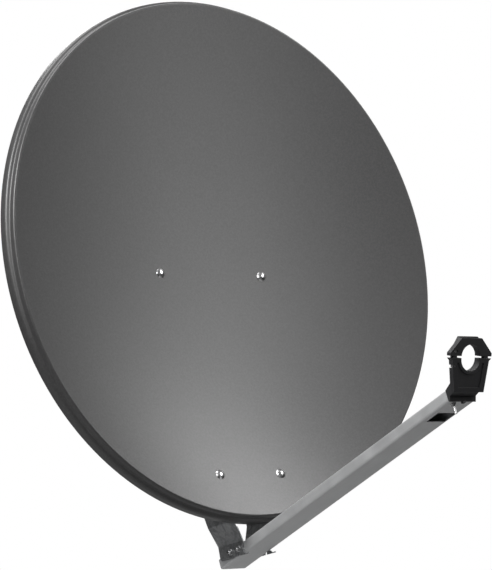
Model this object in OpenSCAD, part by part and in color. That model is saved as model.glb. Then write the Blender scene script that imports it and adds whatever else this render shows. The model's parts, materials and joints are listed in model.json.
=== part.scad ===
// Offset satellite dish: pressed reflector on a galvanised rear frame, tilting on a
// clamp for a vertical mast, with a feed arm and a plastic clamp for a 40 mm LNB neck.
// Origin: the mast's axis, halfway between the two U-bolts. +Z is up, the dish looks to -Y.

/* [Reflector] */
// Width of the mouth, inside the rolled rim
mouth_w = 920; // [900:5:940]
// Angle between the beam and the face's normal
offset_angle = 20.2; // [20:0.1:20.6]
// Focal length of the paraboloid
focal = 635; // [625:1:645]
// Thickness of the reflector's sheet
skin = 1.5; // [1.2:0.1:1.8]
// How far the rolled rim stands out beyond the mouth
rim_flare = 13; // [12:0.5:15]
// How far the rolled rim goes back from the mouth
rim_depth = 31.5; // [30:0.5:34]
// Half the distance between the two upper reflector bolts
bolt_upper_x = 115; // [112:1:118]
// Height of the upper bolts on the face, from the mouth's centre
bolt_upper_z = -21; // [-24:1:-18]
// Half the distance between the two lower reflector bolts
bolt_lower_x = 68; // [66:1:70]
// Height of the lower bolts on the face, from the mouth's centre
bolt_lower_z = -411; // [-414:1:-408]

/* [Aim] */
// Elevation of the beam at rest, in degrees
elevation = 32; // [30:0.5:34]
// Lowest elevation that the slots allow
elevation_min = 15; // [15:1:20]
// Highest elevation that the slots allow
elevation_max = 55; // [45:1:55]

/* [Feed arm] */
// Width of the arm's tube
arm_w = 56; // [54:1:58]
// Height of the arm's tube
arm_h = 20; // [19:0.5:21]
// Length of the arm's tube
arm_length = 727; // [720:1:735]
// Wall of the arm's tube
arm_wall = 1.5; // [1.2:0.1:2]
// Rise of the arm from the face's normal, in degrees
arm_rise = 13.3; // [12.8:0.1:13.8]

/* [LNB clamp] */
// Diameter of the LNB's neck
neck_d = 40; // [38:0.5:40]
// Thickness of the holder and its cap
holder_t = 9.5; // [9:0.5:11]
// Width of the gap between the holder and the cap
cap_gap = 3.4; // [3:0.1:4]
// Lean of the neck's axis from the face's normal, in degrees
neck_lean = 17.9; // [17.5:0.1:18.3]

/* [Mast clamp] */
// Diameter of the mast
mast_d = 50; // [50:0.5:51]
// Height between the two U-bolts
ubolt_pitch = 76; // [74:1:78]
// Thickness of the bracket's plates
plate = 3; // [2.5:0.1:3.2]

/* [Hidden] */
$fn = 48;
running = 0.05;            // radial clearance of a pin that turns in its hole
touch = 0.05;              // gap between faces that meet across two pieces
rod_r = 4;                 // M8 bolts and U-bolts
hole_r = 4.25;             // clearance hole for M8
hex_flat = 13;             // M8 hexagon across its flats
nut_h = 6.5;               // M8 nut
head_h = 5.3;              // M8 hexagon head
washer_t = 1.6;            // M8 washer
washer_r = 8;
small_r = 2.5;             // M5 screws
small_flat = 8;
small_nut_h = 4;

// The paraboloid, in the face's frame: X across, Y back into the dish, Z up the face
ca = cos(offset_angle);
sa = sin(offset_angle);
mouth_h = mouth_w / ca;
centre_up = 2 * focal * tan(offset_angle);
centre_along = (pow(centre_up, 2) + pow(mouth_w / 2, 2)) / (4 * focal);
rest_tilt = elevation - offset_angle;

// The tilt pivot, in the face's frame and in the part's frame
pivot_face = [0, 215, -245];
pivot_row = [0, -80, -45];
lock_reach = 70;           // from the pivot to the lock bolts
cheek_out = 54;            // outer face of the yoke's cheeks
cheek_gap = 0.5;           // between the yoke's cheeks and the bracket's

// The rear frame
sheet = 2.5;
web_y = 149.5;             // rear face of the frame's back plate
frame_top = 14;
web_bottom = -335;
rail_inset = 14;           // from a bolt to the rail beside it
rail_slope = (bolt_upper_x - bolt_lower_x) / (bolt_upper_z - bolt_lower_z);
bend_z = -495;             // the rails bend inwards here
jaw_z = -532;              // and run straight along the arm from here
jaw_x = arm_w / 2 + 0.5;   // inner face of the jaws beside the arm
foot_z = -558;             // lowest edge of the jaws
pad_t = 2.5;

// The arm, from its LNB end back: s along the tube, h up from its underside
arm_end = [0, -593.9, -405];
arm_bolt_r = 3;             // M6 bolts
arm_flat = 10;
arm_nut_h = 5;
arm_head_h = 2.2;
arm_washer = [6, 1.2];      // outer radius and thickness
arm_pivot = [679, 14];
arm_lock = [654, 10];
slot_s = [45, 80];         // the cable slot in the underside
slot_x = [-16, 24];
holder_bolt = [-11, 9];    // across and along the arm

// The LNB clamp, with its origin in the neck's circle on the front face
neck_point = [0, -632.9, -340.4];
seat_drop = 2;             // the holder's half circle sits this far below the origin
cap_lift = cap_gap - 1.2;  // and the cap's half circle this far above it
split_low = -0.4;
screw_x = 33;
post = 8;
bore_depth = 14.5;         // the bore runs deeper than the plates
clamp_nut_h = 3.4;

// ---- frames ----

module in_face() {
    translate(pivot_row)
        rotate([-rest_tilt, 0, 0])
            translate(-pivot_face)
                children();
}

module in_arm() {
    in_face()
        translate(arm_end)
            rotate([-arm_rise, 0, 0])
                children();
}

module in_holder() {
    in_face()
        translate(neck_point)
            rotate([neck_lean, 0, 0])
                children();
}

// ---- the paraboloid's surface ----

function surface_y(x, z) =
    let (
        b = 2 * (centre_up + z * ca) * sa + 4 * focal * ca,
        c = pow(centre_up + z * ca, 2) + x * x - 4 * focal * (centre_along + z * sa)
    )
    (-b + sqrt(b * b - 4 * sa * sa * c)) / (2 * sa * sa);

// Unit normal that points back, away from the mouth
function back_normal(x, z) =
    let (
        up = centre_up + z * ca + surface_y(x, z) * sa,
        v = [x, up * sa + 2 * focal * ca, up * ca - 2 * focal * sa]
    )
    v / norm(v);

function on_skin(x, z, depth) = [x, surface_y(x, z), z] + depth * back_normal(x, z);

// Turns +Z to the skin's backward normal at a point and keeps X across
module at_skin(x, z) {
    m = back_normal(x, z);
    translate([x, surface_y(x, z), z])
        rotate([-acos(m[2]), 0, atan2(-m[0], m[1])])
            children();
}

bolt_places = [
    [-bolt_upper_x, bolt_upper_z], [bolt_upper_x, bolt_upper_z],
    [-bolt_lower_x, bolt_lower_z], [bolt_lower_x, bolt_lower_z]
];

module at_reflector_bolts() {
    for (p = bolt_places)
        in_face()
            at_skin(p[0], p[1])
                children();
}

// ---- shapes that repeat ----

function arc(centre, r, from, to, steps = 8) =
    [for (i = [0:steps]) let (a = from + (to - from) * i / steps)
        centre + r * [cos(a), sin(a)]];

module hexagon(flats, h) {
    rotate([0, 0, 30])
        cylinder(r = flats / sqrt(3), h = h, $fn = 6);
}

module ring(r_out, r_in, h) {
    difference() {
        cylinder(r = r_out, h = h);
        translate([0, 0, -1])
            cylinder(r = r_in, h = h + 2);
    }
}

module nut(flats, r, h) {
    difference() {
        hexagon(flats, h);
        translate([0, 0, -1])
            cylinder(r = r, h = h + 2);
    }
}

// Turns +Z to +X or to -X
module towards_x(side) {
    rotate([0, side * 90, 0])
        children();
}

// Extrudes an outline drawn in (y, z) along X, centred
module across(width) {
    rotate([90, 0, 90])
        translate([0, 0, -width / 2])
            linear_extrude(width)
                children();
}

// Extrudes an outline drawn in (x, z) along +Y from y
module back_from(y, depth) {
    translate([0, y + depth, 0])
        rotate([90, 0, 0])
            linear_extrude(depth)
                children();
}

// ---- reflector ----

sectors = 72;
bowl_rings = 14;
// The rim in section, out from the mouth's edge and back from its plane, there and back again
rim_path = [
    [2, 0.4],
    [4.2, 3.5],
    [5, 11],
    [rim_flare - 3.5, 14.5],
    [rim_flare, 19],
    [rim_flare, rim_depth],
    [rim_flare - skin, rim_depth],
    [rim_flare - skin, 19 + 1.1],
    [rim_flare - 3.5 - 0.9, 14.5 + skin],
    [5 - skin, 11 + 1.2],
    [4.2 - skin, 3.5 + 0.8],
    [0.8, skin + 0.5]
];
skin_rings = bowl_rings + len(rim_path) + bowl_rings;

function bowl_point(share, a, depth) =
    on_skin(share * mouth_w / 2 * cos(a), share * mouth_h / 2 * sin(a), depth);

function rim_point(p, a) =
    [(mouth_w / 2 + p[0]) * cos(a), p[1], (mouth_h / 2 + p[0]) * sin(a)];

function skin_point(k, a) =
    k < bowl_rings ? bowl_point((k + 1) / bowl_rings, a, 0)
    : k < bowl_rings + len(rim_path) ? rim_point(rim_path[k - bowl_rings], a)
    : bowl_point((skin_rings - k) / bowl_rings - 0.002, a, skin);

module skin_shell() {
    points = concat(
        [on_skin(0, 0, 0)],
        [for (k = [0:skin_rings - 1]) for (j = [0:sectors - 1]) skin_point(k, 360 * j / sectors)],
        [on_skin(0, 0, skin)]
    );
    last = skin_rings * sectors + 1;
    faces = concat(
        [for (j = [0:sectors - 1]) [0, 1 + (j + 1) % sectors, 1 + j]],
        [for (k = [0:skin_rings - 2]) for (j = [0:sectors - 1])
            let (a = 1 + k * sectors, n = (j + 1) % sectors)
                [a + j, a + n, a + sectors + j]],
        [for (k = [0:skin_rings - 2]) for (j = [0:sectors - 1])
            let (a = 1 + k * sectors, n = (j + 1) % sectors)
                [a + n, a + sectors + n, a + sectors + j]],
        [for (j = [0:sectors - 1]) [last, last - sectors + j, last - sectors + (j + 1) % sectors]]
    );
    polyhedron(points, faces);
}

module reflector() {
    color([0.34, 0.34, 0.35])
        difference() {
            in_face()
                skin_shell();
            at_reflector_bolts()
                translate([0, 0, -5])
                    cylinder(r = hole_r, h = 12);
        }
}

// ---- rear frame ----

// Half the distance between the rails' outer faces at a height on the face
function rail_x(z) = bolt_lower_x - rail_inset + rail_slope * (z - bolt_lower_z) + sheet / 2;

// The rails from the front: each one's outer line down, then its inner line up
module rail_front() {
    outer = [
        [rail_x(frame_top), frame_top],
        [rail_x(bend_z), bend_z],
        [jaw_x + sheet, jaw_z],
        [jaw_x + sheet, foot_z - 20]
    ];
    inner = [for (i = [len(outer) - 1:-1:0]) outer[i] - [sheet, 0]];
    for (side = [0, 1])
        mirror([side, 0])
            polygon(concat(outer, inner));
}

// The rails from the side
module rail_side() {
    tab_y = surface_y(bolt_upper_x, bolt_upper_z) + skin + 0.6;
    foot_y = surface_y(bolt_lower_x, bolt_lower_z) + skin + 0.6;
    polygon(concat(
        [
            [tab_y + 9, frame_top],
            [tab_y + 9, 2],
            [tab_y + 2, -4],
            [tab_y + 2, -38],
            [tab_y + 12, -46],
            [tab_y + 9, -140],
            [tab_y, -230],
            [tab_y - 14, -310],
            [foot_y + 14, -384],
            [foot_y + 7, -392],
            [foot_y - 0.5, -431],
            [36, -440],
            [33.5, -499],
            [33.5, -504.8],
            [30, -506.5],
            [30.5, -530],
            [33, -545]
        ],
        arc([23, -548], 9, 0, -75, 4),
        [
            [17, foot_z + 2],
            [17, foot_z],
            [62, foot_z],
            [108, foot_z + 1],
            [110, -536],
            [113, -517],
            [117, -492],
            [132, -430],
            [web_y, web_bottom]
        ],
        arc([web_y - 6, frame_top - 6], 6, 0, 90, 4)
    ));
}

// The back plate and its rounded window
module web_plate() {
    back_from(web_y - sheet, sheet)
        difference() {
            polygon([
                [-rail_x(frame_top), frame_top - 4],
                [rail_x(frame_top), frame_top - 4],
                [rail_x(web_bottom), web_bottom],
                [-rail_x(web_bottom), web_bottom]
            ]);
            polygon(concat(
                arc([50, -50], 12, 0, 90, 6),
                arc([-50, -50], 12, 90, 180, 6),
                arc([-42, -118], 12, 180, 270, 6),
                arc([42, -118], 12, 270, 360, 6)
            ));
        }
}

// The lock bolt's way down and out of the jaws when the arm folds
module arm_lock_notch() {
    away = arm_pivot - arm_lock;
    reach = norm(away);
    in_arm()
        translate([0, arm_pivot[0], arm_pivot[1]])
            towards_x(1)
                intersection() {
                    translate([0, 0, -60])
                        ring(reach + arm_bolt_r + 0.25, reach - arm_bolt_r - 0.25, 120);
                    // +X is down here, and -Y is towards the LNB
                    translate([0, 0, -60])
                        linear_extrude(120)
                            polygon([[0, 0], [away[1], -away[0]] * 1.5, [50, -50], [50, 0]]);
                }
    in_arm()
        translate([0, arm_lock[0], arm_lock[1]])
            towards_x(1)
                cylinder(r = arm_bolt_r + 0.25, h = 120, center = true);
}

module rear_frame() {
    color([0.55, 0.56, 0.57])
        difference() {
            union() {
                in_face()
                    intersection() {
                        across(400)
                            rail_side();
                        back_from(-20, 220)
                            rail_front();
                    }
                in_face()
                    web_plate();
                // the top edge, bent forwards
                in_face()
                    back_from(104, web_y - 104 - 3)
                        translate([0, frame_top - sheet / 2])
                            square([2 * rail_x(frame_top) - sheet, sheet], center = true);
                at_reflector_bolts()
                    translate([-17, -17, skin + touch])
                        cube([34, 34, pad_t]);
            }
            at_reflector_bolts()
                cylinder(r = hole_r, h = 30);
            in_arm()
                translate([0, arm_pivot[0], arm_pivot[1]])
                    towards_x(1)
                        cylinder(r = arm_bolt_r + running, h = 120, center = true);
            arm_lock_notch();
            at_yoke_bolts()
                translate([0, 0, -20])
                    cylinder(r = hole_r, h = 40);
        }
}

// ---- reflector fasteners: +Z runs back through the skin and the pad ----

stack_z = skin + touch + pad_t;
head_gap = 0.25;           // under the heads, because the skin's facets stand a little proud

module reflector_bolts() {
    color([0.86, 0.86, 0.87])
        at_reflector_bolts() {
            // the domed head, cut from a ball
            intersection() {
                translate([0, 0, 8.4])
                    sphere(r = 13);
                translate([0, 0, -6])
                    cylinder(r = 9.5, h = 6 - head_gap);
            }
            translate([0, 0, -1])
                cylinder(r = rod_r, h = stack_z + washer_t + nut_h + 6);
        }
}

module reflector_washers() {
    color([0.7, 0.71, 0.72])
        at_reflector_bolts()
            translate([0, 0, stack_z])
                ring(washer_r, hole_r, washer_t);
}

module reflector_nuts() {
    color([0.8, 0.8, 0.81])
        at_reflector_bolts()
            translate([0, 0, stack_z + washer_t])
                nut(hex_flat, rod_r + running, nut_h);
}

// ---- tilt yoke, bolted to the rear frame's back plate ----

yoke_bolt_x = 32;
yoke_bolt_z = [-190, -310];

module at_yoke_bolts() {
    in_face()
        for (x = [-yoke_bolt_x, yoke_bolt_x])
            for (z = yoke_bolt_z)
                translate([x, web_y, z])
                    rotate([-90, 0, 0])
                        children();
}

// The lock bolts' path through the cheeks, as angles about the pivot
slot_from = 90 + rest_tilt - (elevation - elevation_min);
slot_to = 90 + rest_tilt + (elevation_max - elevation);

module yoke_cheek() {
    p = [pivot_face[1], pivot_face[2]];
    difference() {
        polygon(concat(
            [[web_y + touch, -335]],
            arc(p, 20, -90, 0, 6),
            arc(p, lock_reach + 13, 76, 133, 10),
            [[web_y + touch, -168]]
        ));
        polygon(concat(
            arc(p, lock_reach + hole_r, slot_from, slot_to, 12),
            arc(p + lock_reach * [cos(slot_to), sin(slot_to)], hole_r, slot_to + 15, slot_to + 165, 8),
            arc(p, lock_reach - hole_r, slot_to, slot_from, 12),
            arc(p + lock_reach * [cos(slot_from), sin(slot_from)], hole_r,
                slot_from - 165, slot_from - 15, 8)
        ));
    }
}

module tilt_yoke() {
    color([0.6, 0.61, 0.62])
        difference() {
            in_face()
                union() {
                    for (side = [-1, 1])
                        translate([side * (cheek_out - plate / 2), 0, 0])
                            across(plate)
                                yoke_cheek();
                    back_from(web_y + touch, plate)
                        translate([0, (web_bottom - 168) / 2])
                            square([2 * cheek_out, -168 - web_bottom], center = true);
                }
            in_face()
                translate(pivot_face)
                    towards_x(1)
                        cylinder(r = rod_r + running, h = 160, center = true);
            at_yoke_bolts()
                translate([0, 0, -20])
                    cylinder(r = hole_r, h = 40);
            // the window that saves weight
            in_face()
                back_from(web_y - 1, plate + 3)
                    translate([0, -250])
                        square([50, 44], center = true);
        }
}

module yoke_bolts() {
    color([0.86, 0.86, 0.87])
        at_yoke_bolts() {
            translate([0, 0, -sheet - touch - head_h])
                hexagon(hex_flat, head_h);
            translate([0, 0, -sheet - touch - 1])
                cylinder(r = rod_r, h = 1 + sheet + touch + plate + washer_t + nut_h + 5);
        }
}

module yoke_washers() {
    color([0.7, 0.71, 0.72])
        at_yoke_bolts()
            translate([0, 0, touch + plate])
                ring(washer_r, hole_r, washer_t);
}

module yoke_nuts() {
    color([0.8, 0.8, 0.81])
        at_yoke_bolts()
            translate([0, 0, touch + plate + washer_t])
                nut(hex_flat, rod_r + running, nut_h);
}

// ---- mast bracket and clamp ----

bracket_y = -38;                         // front face of the plate that carries the U-bolts
inner_x = cheek_out - plate - cheek_gap; // outer face of the bracket's cheeks
ubolt_r = mast_d / 2 + 0.2 + rod_r;      // centreline of a U-bolt's bend

module bracket_cheek() {
    pivot = [pivot_row[1], pivot_row[2]];
    polygon(concat(
        [[bracket_y + plate, 62], [bracket_y + plate, -62]],
        arc(pivot, 18, -90, -180, 6),
        arc(pivot + [0, lock_reach], 14, 180, 90, 6),
        [[-52, 62]]
    ));
}

module at_ubolt_legs() {
    for (x = [-ubolt_r, ubolt_r])
        for (z = [-ubolt_pitch / 2, ubolt_pitch / 2])
            translate([x, bracket_y, z])
                rotate([90, 0, 0])
                    children();
}

// Children run inwards from the bracket's outer cheek face, on both sides
module at_tilt_bolts(reach) {
    for (side = [-1, 1])
        translate([side * cheek_out, pivot_row[1], pivot_row[2] + reach])
            towards_x(-side)
                children();
}

module mast_bracket() {
    color([0.6, 0.61, 0.62])
        difference() {
            union() {
                for (side = [-1, 1])
                    translate([side * (inner_x - plate / 2), 0, 0])
                        across(plate)
                            bracket_cheek();
                translate([0, bracket_y + plate / 2, 0])
                    cube([2 * inner_x, plate, 124], center = true);
            }
            at_ubolt_legs()
                cylinder(r = hole_r + 0.25, h = 20, center = true);
            for (reach = [0, lock_reach])
                at_tilt_bolts(reach)
                    cylinder(r = rod_r + running, h = 20);
        }
}

// The block between the mast and the bracket, grooved so that it bites
module mast_saddle() {
    half_w = 23;
    mouth_y = -9.8;
    depth = mouth_y - bracket_y - plate - touch;
    height = ubolt_pitch + 26;
    color([0.66, 0.67, 0.68])
        difference() {
            translate([-half_w, mouth_y - depth, -height / 2])
                cube([2 * half_w, depth, height]);
            cylinder(r = mast_d / 2, h = height + 2, center = true);
            for (z = [-44:8:44])
                translate([0, 0, z])
                    cylinder(r = mast_d / 2 + 1.5, h = 3, center = true);
            for (side = [-1, 1])
                translate([side * 17, mouth_y - depth - 1, -height / 2 - 1])
                    translate([-3.5, 0, 0])
                        cube([7, 7, height + 2]);
        }
}

module u_bolt(z) {
    leg = 62;
    color([0.82, 0.82, 0.83])
        translate([0, 0, z]) {
            rotate_extrude(angle = 180)
                translate([ubolt_r, 0])
                    circle(r = rod_r);
            for (side = [-1, 1])
                translate([side * ubolt_r, 0, 0])
                    rotate([90, 0, 0])
                        cylinder(r = rod_r, h = leg);
        }
}

module u_bolt_washers() {
    color([0.7, 0.71, 0.72])
        at_ubolt_legs()
            translate([0, 0, touch])
                ring(washer_r, rod_r + running, washer_t);
}

module u_bolt_nuts() {
    color([0.8, 0.8, 0.81])
        at_ubolt_legs()
            translate([0, 0, touch + washer_t])
                nut(hex_flat, rod_r + running, nut_h);
}

// ---- tilt fasteners: +Z runs inwards from the yoke's outer face ----

module tilt_bolt(reach) {
    color([0.86, 0.86, 0.87])
        at_tilt_bolts(reach) {
            translate([0, 0, -touch - washer_t - head_h])
                hexagon(hex_flat, head_h);
            translate([0, 0, -touch - washer_t - 1])
                cylinder(r = rod_r, h = 22);
        }
}

module tilt_washers() {
    color([0.7, 0.71, 0.72])
        for (reach = [0, lock_reach])
            at_tilt_bolts(reach) {
                translate([0, 0, -touch - washer_t])
                    ring(washer_r, rod_r + running, washer_t);
                translate([0, 0, 2 * plate + cheek_gap + touch])
                    ring(washer_r, rod_r + running, washer_t);
            }
}

module tilt_nuts() {
    color([0.8, 0.8, 0.81])
        for (reach = [0, lock_reach])
            at_tilt_bolts(reach)
                translate([0, 0, 2 * plate + cheek_gap + touch + washer_t])
                    nut(hex_flat, rod_r + running, nut_h);
}

// ---- feed arm: s runs along +Y and h along +Z here ----

module feed_arm() {
    corner = 3.4;
    color([0.72, 0.73, 0.74])
        difference() {
            in_arm()
                rotate([-90, 0, 0])
                    linear_extrude(arm_length)
                        difference() {
                            tube_outline(arm_w / 2, 0, arm_h, corner);
                            tube_outline(arm_w / 2 - arm_wall, arm_wall, arm_h - arm_wall, corner - arm_wall);
                        }
            in_arm()
                translate([slot_x[0], slot_s[0], -1])
                    cube([slot_x[1] - slot_x[0], slot_s[1] - slot_s[0], arm_wall + 2]);
            for (place = [arm_pivot, arm_lock])
                in_arm()
                    translate([0, place[0], place[1]])
                        towards_x(1)
                            cylinder(r = arm_bolt_r + running, h = 120, center = true);
            in_arm()
                translate([holder_bolt[0], holder_bolt[1], -5])
                    cylinder(r = small_r + 0.2, h = 40);
        }
}

// A rounded rectangle with its height along -Y, because the arm's extrusion turns it over
module tube_outline(half_w, low, high, r) {
    polygon(concat(
        arc([half_w - r, -low - r], r, 90, 0, 4),
        arc([half_w - r, -high + r], r, 0, -90, 4),
        arc([-half_w + r, -high + r], r, -90, -180, 4),
        arc([-half_w + r, -low - r], r, 180, 90, 4)
    ));
}

jaw_out = jaw_x + sheet;

// Children run outwards from the jaws' outer faces: the head's side, or the nut's side
module at_arm_bolt(place, side) {
    in_arm()
        translate([side * jaw_out, place[0], place[1]])
            towards_x(side)
                children();
}

module arm_bolt(place) {
    color([0.86, 0.86, 0.87])
        at_arm_bolt(place, 1) {
            translate([0, 0, touch])
                cylinder(r1 = 6.5, r2 = 5.5, h = arm_head_h);
            translate([0, 0, -2 * jaw_out - arm_washer[1] - arm_nut_h - 2.5])
                cylinder(r = arm_bolt_r, h = 2 * jaw_out + arm_washer[1] + arm_nut_h + 3);
        }
}

module arm_washer_at(place) {
    color([0.7, 0.71, 0.72])
        at_arm_bolt(place, -1)
            translate([0, 0, touch])
                ring(arm_washer[0], arm_bolt_r + running, arm_washer[1]);
}

module arm_nut(place) {
    color([0.8, 0.8, 0.81])
        at_arm_bolt(place, -1)
            translate([0, 0, touch + arm_washer[1]])
                nut(arm_flat, arm_bolt_r + running, arm_nut_h);
}

// ---- LNB holder: X across, Y from the front face towards the dish, Z up the plate ----

module holder_outline() {
    polygon([
        [-43.6, split_low], [43.6, split_low], [39, -4.5],
        [31.5, -56.5], [-31.5, -56.5], [-39, -4.5]
    ]);
}

// The block behind the plate that makes the bore deeper
module holder_back() {
    polygon([[-30, split_low], [30, split_low], [27, -26], [18, -31], [-18, -31], [-27, -26]]);
}

module holder_panel() {
    difference() {
        polygon([[-29, -8], [29, -8], [22.5, -49], [-22.5, -49]]);
        translate([0, -seat_drop])
            circle(r = neck_d / 2 + 5);
    }
}

module holder_neck() {
    // where the tube's end face meets the plate's frame
    across(arm_w - 0.6)
        polygon([
            [6, -40], [6, -56], [14.2, -63.5], [13.4, -73.6],
            [16.9, -73.6], [27.1, -56.6], [14, -40]
        ]);
}

module holder_plug() {
    in_arm()
        translate([0, -5, 0])
            rotate([-90, 0, 0])
                linear_extrude(39)
                    tube_outline(arm_w / 2 - arm_wall - 0.3, arm_wall + 0.3, arm_h - arm_wall - 0.3, 2);
    // the key under the tube
    in_arm()
        translate([0, -4, -3.4])
            cube([6, 6, 3.2]);
    in_arm()
        translate([0, -4, -3.4])
            cube([6, 3.6, 6]);
}

module at_clamp_screws() {
    in_holder()
        for (x = [-screw_x, screw_x])
            translate([x, holder_t / 2, 0])
                children();
}

module lnb_holder() {
    color([0.13, 0.13, 0.14])
        difference() {
            union() {
                in_holder()
                    back_from(0, holder_t)
                        holder_outline();
                in_holder()
                    back_from(holder_t - 1, bore_depth - holder_t + 1)
                        holder_back();
                at_clamp_screws()
                    translate([-post / 2, -post / 2, split_low - 1])
                        cube([post, post, 6.4]);
                in_holder()
                    holder_neck();
                holder_plug();
            }
            in_holder()
                translate([0, 0, -seat_drop])
                    rotate([-90, 0, 0])
                        cylinder(r = neck_d / 2, h = 60, center = true);
            in_holder()
                back_from(-1, 2.5)
                    holder_panel();
            at_clamp_screws()
                translate([0, 0, -13])
                    cylinder(r = small_r + 0.1, h = 30);
            in_holder()
                for (side = [-1, 1])
                    translate([side * screw_x - 4.9, 0.5, -17])
                        cube([9.8, holder_t + 0.6, 5.2]);
            // a sight hole that shows the screw's head
            in_holder()
                translate([-screw_x, -1, -14])
                    rotate([-90, 0, 0])
                        cylinder(r = 1.3, h = 3);
            in_arm()
                translate([holder_bolt[0], holder_bolt[1], -5])
                    cylinder(r = small_r + 0.1, h = 40);
        }
}

module holder_bolt_m5() {
    color([0.86, 0.86, 0.87])
        in_arm()
            translate([holder_bolt[0], holder_bolt[1], 0]) {
                translate([0, 0, arm_h + touch + 1])
                    hexagon(small_flat, 3.5);
                translate([0, 0, -18])
                    cylinder(r = small_r, h = arm_h + 20);
            }
}

module holder_washers() {
    color([0.7, 0.71, 0.72])
        in_arm()
            translate([holder_bolt[0], holder_bolt[1], 0])
                for (h = [arm_h + touch, -1 - touch])
                    translate([0, 0, h])
                        ring(5, small_r + 0.1, 1);
}

module holder_nut() {
    color([0.8, 0.8, 0.81])
        in_arm()
            translate([holder_bolt[0], holder_bolt[1], -1 - touch - small_nut_h])
                nut(small_flat, small_r + running, small_nut_h);
}

module lnb_clamp_cap() {
    split_high = split_low + cap_gap;
    color([0.15, 0.15, 0.16])
        difference() {
            union() {
                in_holder()
                    back_from(0, holder_t)
                        polygon([
                            [-43.6, split_high], [-44, 8], [-21.5, 32.7],
                            [21.5, 32.7], [44, 8], [43.6, split_high]
                        ]);
                in_holder()
                    back_from(holder_t - 1, bore_depth - holder_t + 1)
                        polygon([
                            [-27.5, split_high], [-27.5, 21], [-19.5, 34.6],
                            [19.5, 34.6], [27.5, 21], [27.5, split_high]
                        ]);
            }
            in_holder()
                translate([0, 0, cap_lift])
                    rotate([-90, 0, 0])
                        cylinder(r = neck_d / 2, h = 60, center = true);
            at_clamp_screws() {
                translate([-post / 2 - 0.2, -post / 2 - 0.2, -5])
                    cube([post + 0.4, post + 0.4, 13.4]);
                cylinder(r = small_r + 0.2, h = 17);
            }
            in_holder()
                for (side = [-1, 1])
                    translate([side * screw_x - 4.8, side < 0 ? -1 : 0.6, 9])
                        cube([9.6, side < 0 ? 9.9 : 8.3, clamp_nut_h + 0.2]);
        }
}

module clamp_screws() {
    color([0.86, 0.86, 0.87])
        at_clamp_screws() {
            translate([0, 0, -15.9])
                cylinder(r = 4.2, h = 3.9);
            translate([0, 0, -13])
                cylinder(r = small_r, h = 26.5);
        }
}

module clamp_nuts() {
    color([0.86, 0.86, 0.87])
        at_clamp_screws()
            translate([0, 0, 9.1])
                rotate([0, 0, 30])
                    nut(small_flat, small_r + running, clamp_nut_h);
}

reflector();
rear_frame();
tilt_yoke();
reflector_bolts();
reflector_washers();
reflector_nuts();
yoke_bolts();
yoke_washers();
yoke_nuts();
mast_bracket();
mast_saddle();
u_bolt(ubolt_pitch / 2);  // u_bolt_upper
u_bolt(-ubolt_pitch / 2);  // u_bolt_lower
u_bolt_washers();
u_bolt_nuts();
tilt_bolt(0);  // tilt_pivot_bolts
tilt_bolt(lock_reach);  // tilt_lock_bolts
tilt_washers();
tilt_nuts();
feed_arm();
arm_bolt(arm_pivot);  // arm_pivot_bolt
arm_washer_at(arm_pivot);  // arm_pivot_washer
arm_nut(arm_pivot);  // arm_pivot_nut
arm_bolt(arm_lock);  // arm_lock_bolt
arm_washer_at(arm_lock);  // arm_lock_washer
arm_nut(arm_lock);  // arm_lock_nut
lnb_holder();
holder_bolt_m5();
holder_washers();
holder_nut();
lnb_clamp_cap();
clamp_screws();
clamp_nuts();
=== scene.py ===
import bpy
import bmesh
import json
import math
from mathutils import Matrix, Vector


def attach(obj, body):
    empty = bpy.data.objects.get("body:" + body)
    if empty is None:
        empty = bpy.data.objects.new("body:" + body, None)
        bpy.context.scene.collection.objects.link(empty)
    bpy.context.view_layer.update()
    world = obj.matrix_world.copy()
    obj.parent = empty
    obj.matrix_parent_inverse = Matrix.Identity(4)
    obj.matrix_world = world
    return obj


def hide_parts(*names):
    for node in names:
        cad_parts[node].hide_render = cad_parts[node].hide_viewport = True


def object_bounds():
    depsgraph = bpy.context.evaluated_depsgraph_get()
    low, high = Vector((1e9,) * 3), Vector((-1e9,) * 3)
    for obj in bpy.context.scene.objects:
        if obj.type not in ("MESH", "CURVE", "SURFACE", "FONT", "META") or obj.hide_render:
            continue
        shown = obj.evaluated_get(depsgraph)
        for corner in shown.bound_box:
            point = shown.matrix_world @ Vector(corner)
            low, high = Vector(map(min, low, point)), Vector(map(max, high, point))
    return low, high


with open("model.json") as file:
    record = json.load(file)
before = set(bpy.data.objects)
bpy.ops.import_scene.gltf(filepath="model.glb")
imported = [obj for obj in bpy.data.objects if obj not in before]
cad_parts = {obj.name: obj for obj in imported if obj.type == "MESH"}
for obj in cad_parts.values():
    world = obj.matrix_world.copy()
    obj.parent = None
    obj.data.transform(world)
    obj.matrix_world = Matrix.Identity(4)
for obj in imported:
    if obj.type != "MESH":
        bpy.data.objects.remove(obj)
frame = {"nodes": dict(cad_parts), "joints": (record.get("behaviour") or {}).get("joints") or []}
cad_lo, cad_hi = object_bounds()
NODES = frame["nodes"]
scene = bpy.context.scene

# ------------------------------------------------------------------ frames
# lengths in metres, angles in degrees
FACE_LEAN = 11.8            # the face's plane leans back from upright
ARM_RISE = 13.3             # the arm rises out from the face's normal
PIVOT_IN_FACE = (0, 0.215, -0.245)
JOINTS = {joint["name"]: joint for joint in frame["joints"]}
PIVOT = Vector(JOINTS["elevation"]["pos_m"])
# the face's frame: its origin is the middle of the mouth, X to the right and Z up along the mouth
LEANING = Matrix.Rotation(math.radians(-FACE_LEAN), 4, "X")
FACE = Matrix.Translation(PIVOT) @ LEANING @ Matrix.Translation(-Vector(PIVOT_IN_FACE))

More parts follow.
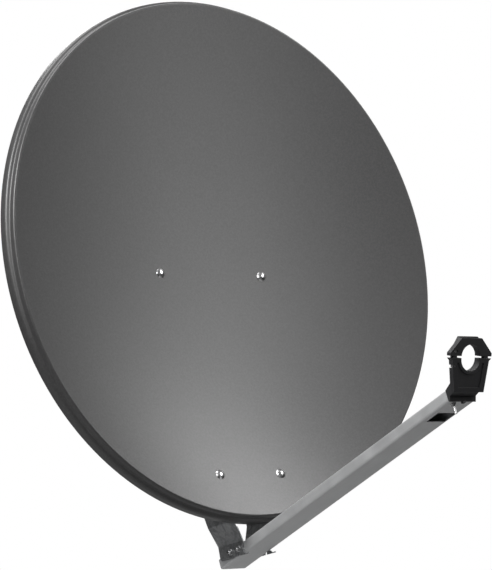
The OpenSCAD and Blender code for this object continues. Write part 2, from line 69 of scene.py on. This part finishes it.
# the offset paraboloid in the face's frame
MOUTH_W = 0.920
OFFSET_ANGLE = math.radians(20.2)
FOCAL = 0.635
SA = math.sin(OFFSET_ANGLE)
CA = math.cos(OFFSET_ANGLE)
MOUTH_H = MOUTH_W / CA
UP = 2 * FOCAL * math.tan(OFFSET_ANGLE)
ALONG = (UP * UP + MOUTH_W * MOUTH_W / 4) / (4 * FOCAL)


def surf(x, z):
    """How far the bowl lies behind the mouth's plane."""
    b = 2 * (UP + z * CA) * SA + 4 * FOCAL * CA
    c = (UP + z * CA) ** 2 + x * x - 4 * FOCAL * (ALONG + z * SA)
    return (-b + math.sqrt(b * b - 4 * SA * SA * c)) / (2 * SA * SA)


def normal(x, z):
    """Unit normal of the bowl, pointing out of its back."""
    up = UP + z * CA + surf(x, z) * SA
    return Vector((x, up * SA + 2 * FOCAL * CA, up * CA - 2 * FOCAL * SA)).normalized()


def on_skin(x, z, d=0.0):
    """Point d behind the bowl's front surface."""
    return Vector((x, surf(x, z), z)) + normal(x, z) * d


# ------------------------------------------------------------------ node materials
class Mat:
    """A material with the few node calls that the surfaces below are made of."""

    def __init__(self, name):
        self.m = bpy.data.materials.new(name)
        self.m.use_nodes = True
        self.t = self.m.node_tree
        self.b = self.t.nodes["Principled BSDF"]
        self.co = self.t.nodes.new("ShaderNodeTexCoord").outputs["Object"]

    def node(self, kind, **kw):
        n = self.t.nodes.new(kind)
        for k, v in kw.items():
            setattr(n, k, v)
        return n

    def link(self, a, b):
        self.t.links.new(a, b)

    def scaled(self, sx, sy, sz):
        n = self.node("ShaderNodeMapping")
        n.inputs["Scale"].default_value = (sx, sy, sz)
        self.link(self.co, n.inputs["Vector"])
        return n.outputs["Vector"]

    def noise(self, scale, detail=2.0, rough=0.5, vec=None):
        n = self.node("ShaderNodeTexNoise")
        n.inputs["Scale"].default_value = scale
        n.inputs["Detail"].default_value = detail
        n.inputs["Roughness"].default_value = rough
        self.link(vec or self.co, n.inputs["Vector"])
        return n.outputs["Fac"]

    def voronoi(self, scale, out="Distance"):
        n = self.node("ShaderNodeTexVoronoi", feature="F1")
        n.inputs["Scale"].default_value = scale
        self.link(self.co, n.inputs["Vector"])
        return n.outputs[out]

    def math(self, op, a, b):
        n = self.node("ShaderNodeMath", operation=op)
        for i, v in enumerate((a, b)):
            if isinstance(v, (int, float)):
                n.inputs[i].default_value = v
            else:
                self.link(v, n.inputs[i])
        return n.outputs[0]

    def span(self, v, lo, hi, to_lo, to_hi):
        n = self.node("ShaderNodeMapRange")
        n.inputs["From Min"].default_value = lo
        n.inputs["From Max"].default_value = hi
        n.inputs["To Min"].default_value = to_lo
        n.inputs["To Max"].default_value = to_hi
        self.link(v, n.inputs["Value"])
        return n.outputs["Result"]

    def mix(self, fac, a, b):
        n = self.node("ShaderNodeMix", data_type="RGBA")
        for i, v in ((6, a), (7, b)):
            if isinstance(v, tuple):
                n.inputs[i].default_value = (*v, 1)
            else:
                self.link(v, n.inputs[i])
        self.link(fac, n.inputs[0])
        return n.outputs[2]

    def color(self, v):
        self.link(v, self.b.inputs["Base Color"])

    def rough(self, v):
        self.link(v, self.b.inputs["Roughness"])

    def metal(self, v):
        self.b.inputs["Metallic"].default_value = v

    def bump(self, *layers):
        prev = None
        for height, strength, dist in layers:
            n = self.node("ShaderNodeBump")
            n.inputs["Strength"].default_value = strength
            n.inputs["Distance"].default_value = dist
            self.link(height, n.inputs["Height"])
            if prev:
                self.link(prev, n.inputs["Normal"])
            prev = n.outputs["Normal"]
        self.link(prev, self.b.inputs["Normal"])


def edge_mask(mat, size):
    """White along edges: where a rounded normal differs from the true one. On the arm this is a painted
    highlight along its edges; the galvanised frame and bracket and the plastic use it for paler worn edges.
    """
    bev = mat.node("ShaderNodeBevel", samples=4)
    bev.inputs["Radius"].default_value = size
    geo = mat.node("ShaderNodeNewGeometry")
    dot = mat.node("ShaderNodeVectorMath", operation="DOT_PRODUCT")
    mat.link(bev.outputs["Normal"], dot.inputs[0])
    mat.link(geo.outputs["Normal"], dot.inputs[1])
    return mat.span(dot.outputs["Value"], 0.99, 0.75, 0.0, 1.0)


def paint_material():
    """Dark grey powder coat: fine orange peel, a speckled grain, faint blotches and a little dust."""
    m = Mat("reflector_powder_coat")
    peel = m.noise(620, 3, 0.55)
    grain = m.noise(260, 4, 0.75)
    blotch = m.noise(3.2, 4, 0.55)
    dust = m.noise(60, 6, 0.7)
    base = m.mix(m.span(blotch, 0.3, 0.7, 0, 1), (0.037, 0.0365, 0.0368), (0.043, 0.0425, 0.0428))
    base = m.mix(m.span(grain, 0.40, 0.62, 0, 0.55), base, (0.066, 0.065, 0.0655))
    base = m.mix(m.span(dust, 0.64, 0.85, 0, 0.08), base, (0.20, 0.195, 0.19))
    m.color(base)
    m.rough(m.span(peel, 0.3, 0.7, 0.31, 0.40))
    m.bump((peel, 0.16, 0.0005), (grain, 0.12, 0.0003))
    return m.m


def galvanised_material(name, lo, hi, spangle):
    """Hot-dip zinc: crystal spangle in two sizes, run marks and dulling."""
    m = Mat(name)
    big = m.node("ShaderNodeSeparateColor")
    m.link(m.voronoi(spangle, "Color"), big.inputs[0])
    small = m.node("ShaderNodeSeparateColor")
    m.link(m.voronoi(spangle * 3.1, "Color"), small.inputs[0])
    f = m.math("ADD", m.math("MULTIPLY", big.outputs[0], 0.62), m.math("MULTIPLY", small.outputs[1], 0.38))
    cloud = m.noise(14, 5, 0.6)
    run = m.noise(1.0, 4, 0.6, m.scaled(55, 55, 6))
    base = m.mix(f, lo, hi)
    base = m.mix(m.span(cloud, 0.4, 0.75, 0, 0.35), base, tuple(c * 0.72 for c in lo))
    base = m.mix(m.span(run, 0.58, 0.8, 0, 0.3), base, tuple(min(1, c * 1.25) for c in hi))
    base = m.mix(m.math("MULTIPLY", edge_mask(m, 0.0009), 0.6), base, (0.78, 0.79, 0.80))
    m.color(base)
    m.metal(0.85)
    m.rough(m.span(f, 0, 1, 0.6, 0.38))
    m.bump((m.noise(1500, 2), 0.12, 0.0002), (cloud, 0.15, 0.0006))
    return m.m


def arm_material():
    """Drawn, satin galvanised tube: fine lines along it, soft clouds, dark specks, and a painted highlight
    along its edges.
    """
    m = Mat("arm_satin_zinc")
    turned = m.node("ShaderNodeMapping")
    turned.inputs["Rotation"].default_value = (math.radians(FACE_LEAN + ARM_RISE), 0, 0)
    m.link(m.co, turned.inputs["Vector"])
    drawn = m.node("ShaderNodeMapping")
    drawn.inputs["Scale"].default_value = (700, 9, 700)
    m.link(turned.outputs["Vector"], drawn.inputs["Vector"])
    lines = m.noise(1.0, 3, 0.6, drawn.outputs["Vector"])
    cloud = m.noise(22, 5, 0.62)
    speck = m.noise(420, 3, 0.6)
    base = m.mix(m.span(cloud, 0.3, 0.72, 0, 1), (0.50, 0.505, 0.51), (0.60, 0.605, 0.61))
    base = m.mix(m.span(lines, 0.3, 0.75, 0, 0.28), base, (0.40, 0.405, 0.41))
    base = m.mix(m.span(speck, 0.62, 0.8, 0, 0.35), base, (0.36, 0.36, 0.36))
    # painted highlight: the arm's edges are painted near white, standing in for light caught on its rounded
    # corners
    base = m.mix(m.math("MULTIPLY", edge_mask(m, 0.0012), 0.9), base, (0.95, 0.96, 0.97))
    m.color(base)
    m.metal(0.55)
    m.rough(m.span(cloud, 0.3, 0.7, 0.38, 0.52))
    m.bump((lines, 0.14, 0.0003), (speck, 0.10, 0.0002))
    return m.m


def zinc_material(name, tone):
    """Bright plated fasteners: turning marks and finger-dulled patches."""
    m = Mat(name)
    fine = m.noise(2600, 2)
    patch = m.noise(160, 4, 0.6)
    base = m.mix(m.span(patch, 0.35, 0.7, 0, 1), (tone, tone, tone * 1.01), (tone * 0.78,) * 3)
    m.color(base)
    m.metal(1.0)
    m.rough(m.span(patch, 0.3, 0.7, 0.20, 0.36))
    m.bump((fine, 0.10, 0.0001), (patch, 0.10, 0.0002))
    return m.m


def plastic_material():
    """Black moulded plastic: spark-eroded grain, paler scuffed edges."""
    m = Mat("black_moulded_plastic")
    grain = m.voronoi(1900)
    cloud = m.noise(40, 4, 0.6)
    base = m.mix(m.span(cloud, 0.3, 0.7, 0, 1), (0.012, 0.012, 0.013), (0.018, 0.018, 0.0195))
    base = m.mix(m.math("MULTIPLY", edge_mask(m, 0.0010), 0.55), base, (0.075, 0.075, 0.078))
    m.color(base)
    m.rough(m.span(grain, 0.0, 0.6, 0.40, 0.56))
    m.bump((grain, 0.16, 0.00015), (cloud, 0.12, 0.0006))
    return m.m


def cast_material():
    """Cast alloy: coarse pits under a soft cloud."""
    m = Mat("cast_saddle")
    pits = m.noise(520, 5, 0.65)
    cloud = m.noise(30, 4)
    m.color(m.mix(m.span(cloud, 0.3, 0.7, 0, 1), (0.42, 0.42, 0.43), (0.54, 0.54, 0.55)))
    m.metal(0.9)
    m.rough(m.span(pits, 0.3, 0.7, 0.45, 0.7))
    m.bump((pits, 0.4, 0.0006))
    return m.m


PAINT = paint_material()
FRAME_ZINC = galvanised_material("galvanised_frame", (0.20, 0.205, 0.21), (0.46, 0.465, 0.475), 70)
BRACKET_ZINC = galvanised_material("galvanised_bracket", (0.30, 0.305, 0.31), (0.55, 0.555, 0.56), 110)
ARM_ZINC = arm_material()
BOLT_ZINC = zinc_material("bright_zinc", 0.80)
WASHER_ZINC = zinc_material("washer_zinc", 0.62)
PLASTIC = plastic_material()
CAST = cast_material()


def wear(obj, mat):
    obj.data.materials.clear()
    obj.data.materials.append(mat)


for name, obj in NODES.items():
    if "washer" in name:
        wear(obj, WASHER_ZINC)
    elif "bolt" in name or "nut" in name or "screw" in name:
        wear(obj, BOLT_ZINC)
wear(NODES["rear_frame"], FRAME_ZINC)
wear(NODES["tilt_yoke"], BRACKET_ZINC)
wear(NODES["mast_bracket"], BRACKET_ZINC)
wear(NODES["mast_saddle"], CAST)
wear(NODES["feed_arm"], ARM_ZINC)
wear(NODES["lnb_holder"], PLASTIC)
wear(NODES["lnb_clamp_cap"], PLASTIC)

# ------------------------------------------------------------------ softened edges on the CAD pieces


def soften(name, width):
    """Joins the mesh's split corners, then rounds its sharp edges."""
    weld = NODES[name].modifiers.new("weld", "WELD")
    weld.merge_threshold = 0.00002
    bevel = NODES[name].modifiers.new("bevel", "BEVEL")
    bevel.width = width
    bevel.segments = 2
    bevel.limit_method = "ANGLE"
    bevel.angle_limit = math.radians(40)
    bevel.harden_normals = False
    bevel.use_clamp_overlap = True


for name in ("rear_frame", "tilt_yoke", "mast_bracket", "mast_saddle"):
    soften(name, 0.0005)
for name in ("lnb_holder", "lnb_clamp_cap"):
    soften(name, 0.0006)

# ------------------------------------------------------------------ reflector
# one continuous skin: front, rolled rim and back, whole under the bolts' heads and washers
RIM = 0.013
RIM_DEPTH = 0.0315
# how far out from the mouth's edge, and how far back from its plane
FRONT_RIM = [
    (0.0006, 0.0000), (0.0016, 0.0002), (0.0027, 0.0008), (0.0035, 0.0018), (0.0041, 0.0032),
    (0.0044, 0.0052), (0.0046, 0.0080), (0.0048, 0.0100), (0.0052, 0.0114), (0.0060, 0.0124),
    (0.0073, 0.0132), (0.0088, 0.0140), (0.0102, 0.0150), (0.0113, 0.0164), (0.0120, 0.0182),
    (0.0124, 0.0204), (0.0126, 0.0232), (0.0128, 0.0260), (0.01295, 0.0288), (RIM, RIM_DEPTH - 0.0004),
]
BACK_RIM = [
    (RIM - 0.0003, RIM_DEPTH), (RIM - 0.0010, RIM_DEPTH), (RIM - 0.0013, RIM_DEPTH - 0.0004),
    (0.0115, 0.0270), (0.0111, 0.0215), (0.0104, 0.0186), (0.0094, 0.0168), (0.0078, 0.0156),
    (0.0060, 0.0147), (0.0044, 0.0136), (0.0036, 0.0120), (0.0032, 0.0085), (0.0029, 0.0056),
    (0.0022, 0.0036), (0.0010, 0.0030),
]
SKIN = 0.0013
BACK_INSET = 0.0028         # keeps the back of the bowl clear of the rim's inner wall, as a share
SECTORS = 180
RINGS = 46


def reflector_mesh():
    bm = bmesh.new()
    angles = [2 * math.pi * j / SECTORS for j in range(SECTORS)]
    shares = [math.sin(math.pi / 2 * (k + 1) / RINGS) for k in range(RINGS)]
    rings = []

    def ring(points):
        rings.append([bm.verts.new(FACE @ p) for p in points])

    def bowl_ring(share, d):
        half_w = share * MOUTH_W / 2
        half_h = share * MOUTH_H / 2
        ring([on_skin(half_w * math.cos(a), half_h * math.sin(a), d) for a in angles])

    for share in shares:
        bowl_ring(share, 0.0)
    for out, back in FRONT_RIM + BACK_RIM:
        half_w = MOUTH_W / 2 + out
        half_h = MOUTH_H / 2 + out
        ring([Vector((half_w * math.cos(a), back, half_h * math.sin(a))) for a in angles])
    for share in reversed(shares):
        bowl_ring(share - BACK_INSET, SKIN)
    for near, far in zip(rings, rings[1:]):
        for j in range(SECTORS):
            k = (j + 1) % SECTORS
            bm.faces.new((near[j], near[k], far[k], far[j]))
    for edge, middle in ((rings[0], on_skin(0, 0)), (rings[-1], on_skin(0, 0, SKIN))):
        v = bm.verts.new(FACE @ middle)
        for j in range(SECTORS):
            bm.faces.new((edge[j], edge[(j + 1) % SECTORS], v))
    return bm


def new_object(name, bm, mat, body):
    bmesh.ops.recalc_face_normals(bm, faces=bm.faces)
    mesh = bpy.data.meshes.new(name)
    bm.to_mesh(mesh)
    bm.free()
    for polygon in mesh.polygons:
        polygon.use_smooth = True
    mesh.materials.append(mat)
    obj = bpy.data.objects.new(name, mesh)
    scene.collection.objects.link(obj)
    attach(obj, body)
    return obj


dish = new_object("reflector_skin", reflector_mesh(), PAINT, "dish")
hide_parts("reflector")

# ------------------------------------------------------------------ world
world = bpy.data.worlds.new("studio")
scene.world = world
world.use_nodes = True
world_tree = world.node_tree
room = world_tree.nodes["Background"]
world_out = world_tree.nodes["World Output"]


def world_node(kind):
    return world_tree.nodes.new(kind)


# the room that lights the dish: a pale ceiling over a dark floor and dark sides
direction = world_node("ShaderNodeTexCoord").outputs["Generated"]
height = world_node("ShaderNodeSeparateXYZ")
world_tree.links.new(direction, height.inputs[0])
ramp = world_node("ShaderNodeValToRGB")
ramp.color_ramp.elements[0].position = 0.30
ramp.color_ramp.elements[0].color = (0.012, 0.012, 0.012, 1)
ramp.color_ramp.elements[1].position = 0.98
ramp.color_ramp.elements[1].color = (0.55, 0.55, 0.55, 1)
mid = ramp.color_ramp.elements.new(0.52)
mid.color = (0.10, 0.10, 0.10, 1)
up01 = world_node("ShaderNodeMapRange")
up01.inputs["From Min"].default_value = -1
up01.inputs["From Max"].default_value = 1
world_tree.links.new(height.outputs["Z"], up01.inputs["Value"])
world_tree.links.new(up01.outputs["Result"], ramp.inputs["Fac"])
world_tree.links.new(ramp.outputs["Color"], room.inputs["Color"])
room.inputs["Strength"].default_value = 0.4
# and the white paper behind it
paper = world_node("ShaderNodeBackground")
paper.inputs["Color"].default_value = (1, 1, 1, 1)
paper.inputs["Strength"].default_value = 1.0
path = world_node("ShaderNodeLightPath")
both = world_node("ShaderNodeMixShader")
world_tree.links.new(path.outputs["Is Camera Ray"], both.inputs[0])
world_tree.links.new(room.outputs[0], both.inputs[1])
world_tree.links.new(paper.outputs[0], both.inputs[2])
world_tree.links.new(both.outputs[0], world_out.inputs["Surface"])


# ------------------------------------------------------------------ lights
def area(name, loc, target, size, power):
    lamp = bpy.data.lights.new(name, "AREA")
    lamp.shape = "RECTANGLE"
    lamp.size = size
    lamp.size_y = size
    lamp.energy = power
    obj = bpy.data.objects.new(name, lamp)
    scene.collection.objects.link(obj)
    obj.location = loc
    obj.rotation_mode = "QUATERNION"
    obj.rotation_quaternion = (Vector(target) - Vector(loc)).to_track_quat("-Z", "Y")


# the bowl's lower half mirrors the softbox on the right; the two on the left light the arm and the rim
area("softbox_right", (1.75, -1.55, 1.95), (0, -0.3, -0.3), 0.8, 34)
area("front_right", (1.5, -2.4, 1.2), (0, -0.3, -0.2), 1.0, 17)
area("overhead", (-0.7, 0.3, 2.5), (0, -0.3, 0.0), 1.6, 38)
area("left", (-2.6, -0.5, 1.9), (0, -0.2, 0.1), 1.2, 104)
area("front_left", (-2.4, -2.2, 1.2), (0, -0.3, 0.0), 1.4, 26)
area("back", (1.3, 3.0, 2.2), (0, 0, 0.1), 2.0, 60)

# ------------------------------------------------------------------ floor
FLOOR_DROP = 0.85
FLOOR_RADIUS = 3.6

bm = bmesh.new()
bmesh.ops.create_circle(bm, cap_ends=True, segments=96, radius=FLOOR_RADIUS)
floor_mesh = bpy.data.meshes.new("floor")
bm.to_mesh(floor_mesh)
bm.free()
floor = bpy.data.objects.new("floor", floor_mesh)
floor.location = (0, 0, cad_lo.z - FLOOR_DROP)
scene.collection.objects.link(floor)
white = Mat("floor_white")
white.color(white.mix(white.span(white.noise(4, 3), 0.3, 0.7, 0, 1), (0.88, 0.88, 0.88), (0.92, 0.92, 0.92)))
white.rough(white.span(white.noise(30, 2), 0.3, 0.7, 0.7, 0.8))
# it fades into the paper behind
far = white.node("ShaderNodeVectorMath", operation="LENGTH")
white.link(white.co, far.inputs[0])
clear = white.node("ShaderNodeBsdfTransparent")
fade = white.node("ShaderNodeMixShader")
white.link(white.span(far.outputs["Value"], 0.9, 3.5, 0.62, 1), fade.inputs[0])
white.link(white.b.outputs[0], fade.inputs[1])
white.link(clear.outputs[0], fade.inputs[2])
white.link(fade.outputs[0], white.t.nodes["Material Output"].inputs["Surface"])
wear(floor, white.m)

# ------------------------------------------------------------------ camera
# the viewpoint in the face's frame, with its turn, lift and roll
VIEWPOINT = (-2.7408, -3.81045, -1.08523)
YAW = math.radians(35.963)
PITCH = math.radians(12.306)
ROLL = math.radians(-6.921)
cam_data = bpy.data.cameras.new("camera")
cam_data.sensor_fit = "AUTO"
cam_data.sensor_width = 36
cam_data.lens = 163.25
cam_data.clip_start = 0.1
cam_data.clip_end = 60
cam = bpy.data.objects.new("camera", cam_data)
scene.collection.objects.link(cam)
scene.camera = cam
look = Vector((math.sin(YAW) * math.cos(PITCH), math.cos(YAW) * math.cos(PITCH), math.sin(PITCH)))
level = Vector((math.cos(YAW), -math.sin(YAW), 0))
lift = level.cross(look)
cam_right = level * math.cos(ROLL) + lift * math.sin(ROLL)
cam_up = -level * math.sin(ROLL) + lift * math.cos(ROLL)
turn = Matrix((cam_right, cam_up, -look)).transposed().to_4x4()
cam.matrix_world = FACE @ Matrix.Translation(VIEWPOINT) @ turn

scene.view_settings.view_transform = "Standard"
scene.view_settings.look = "None"
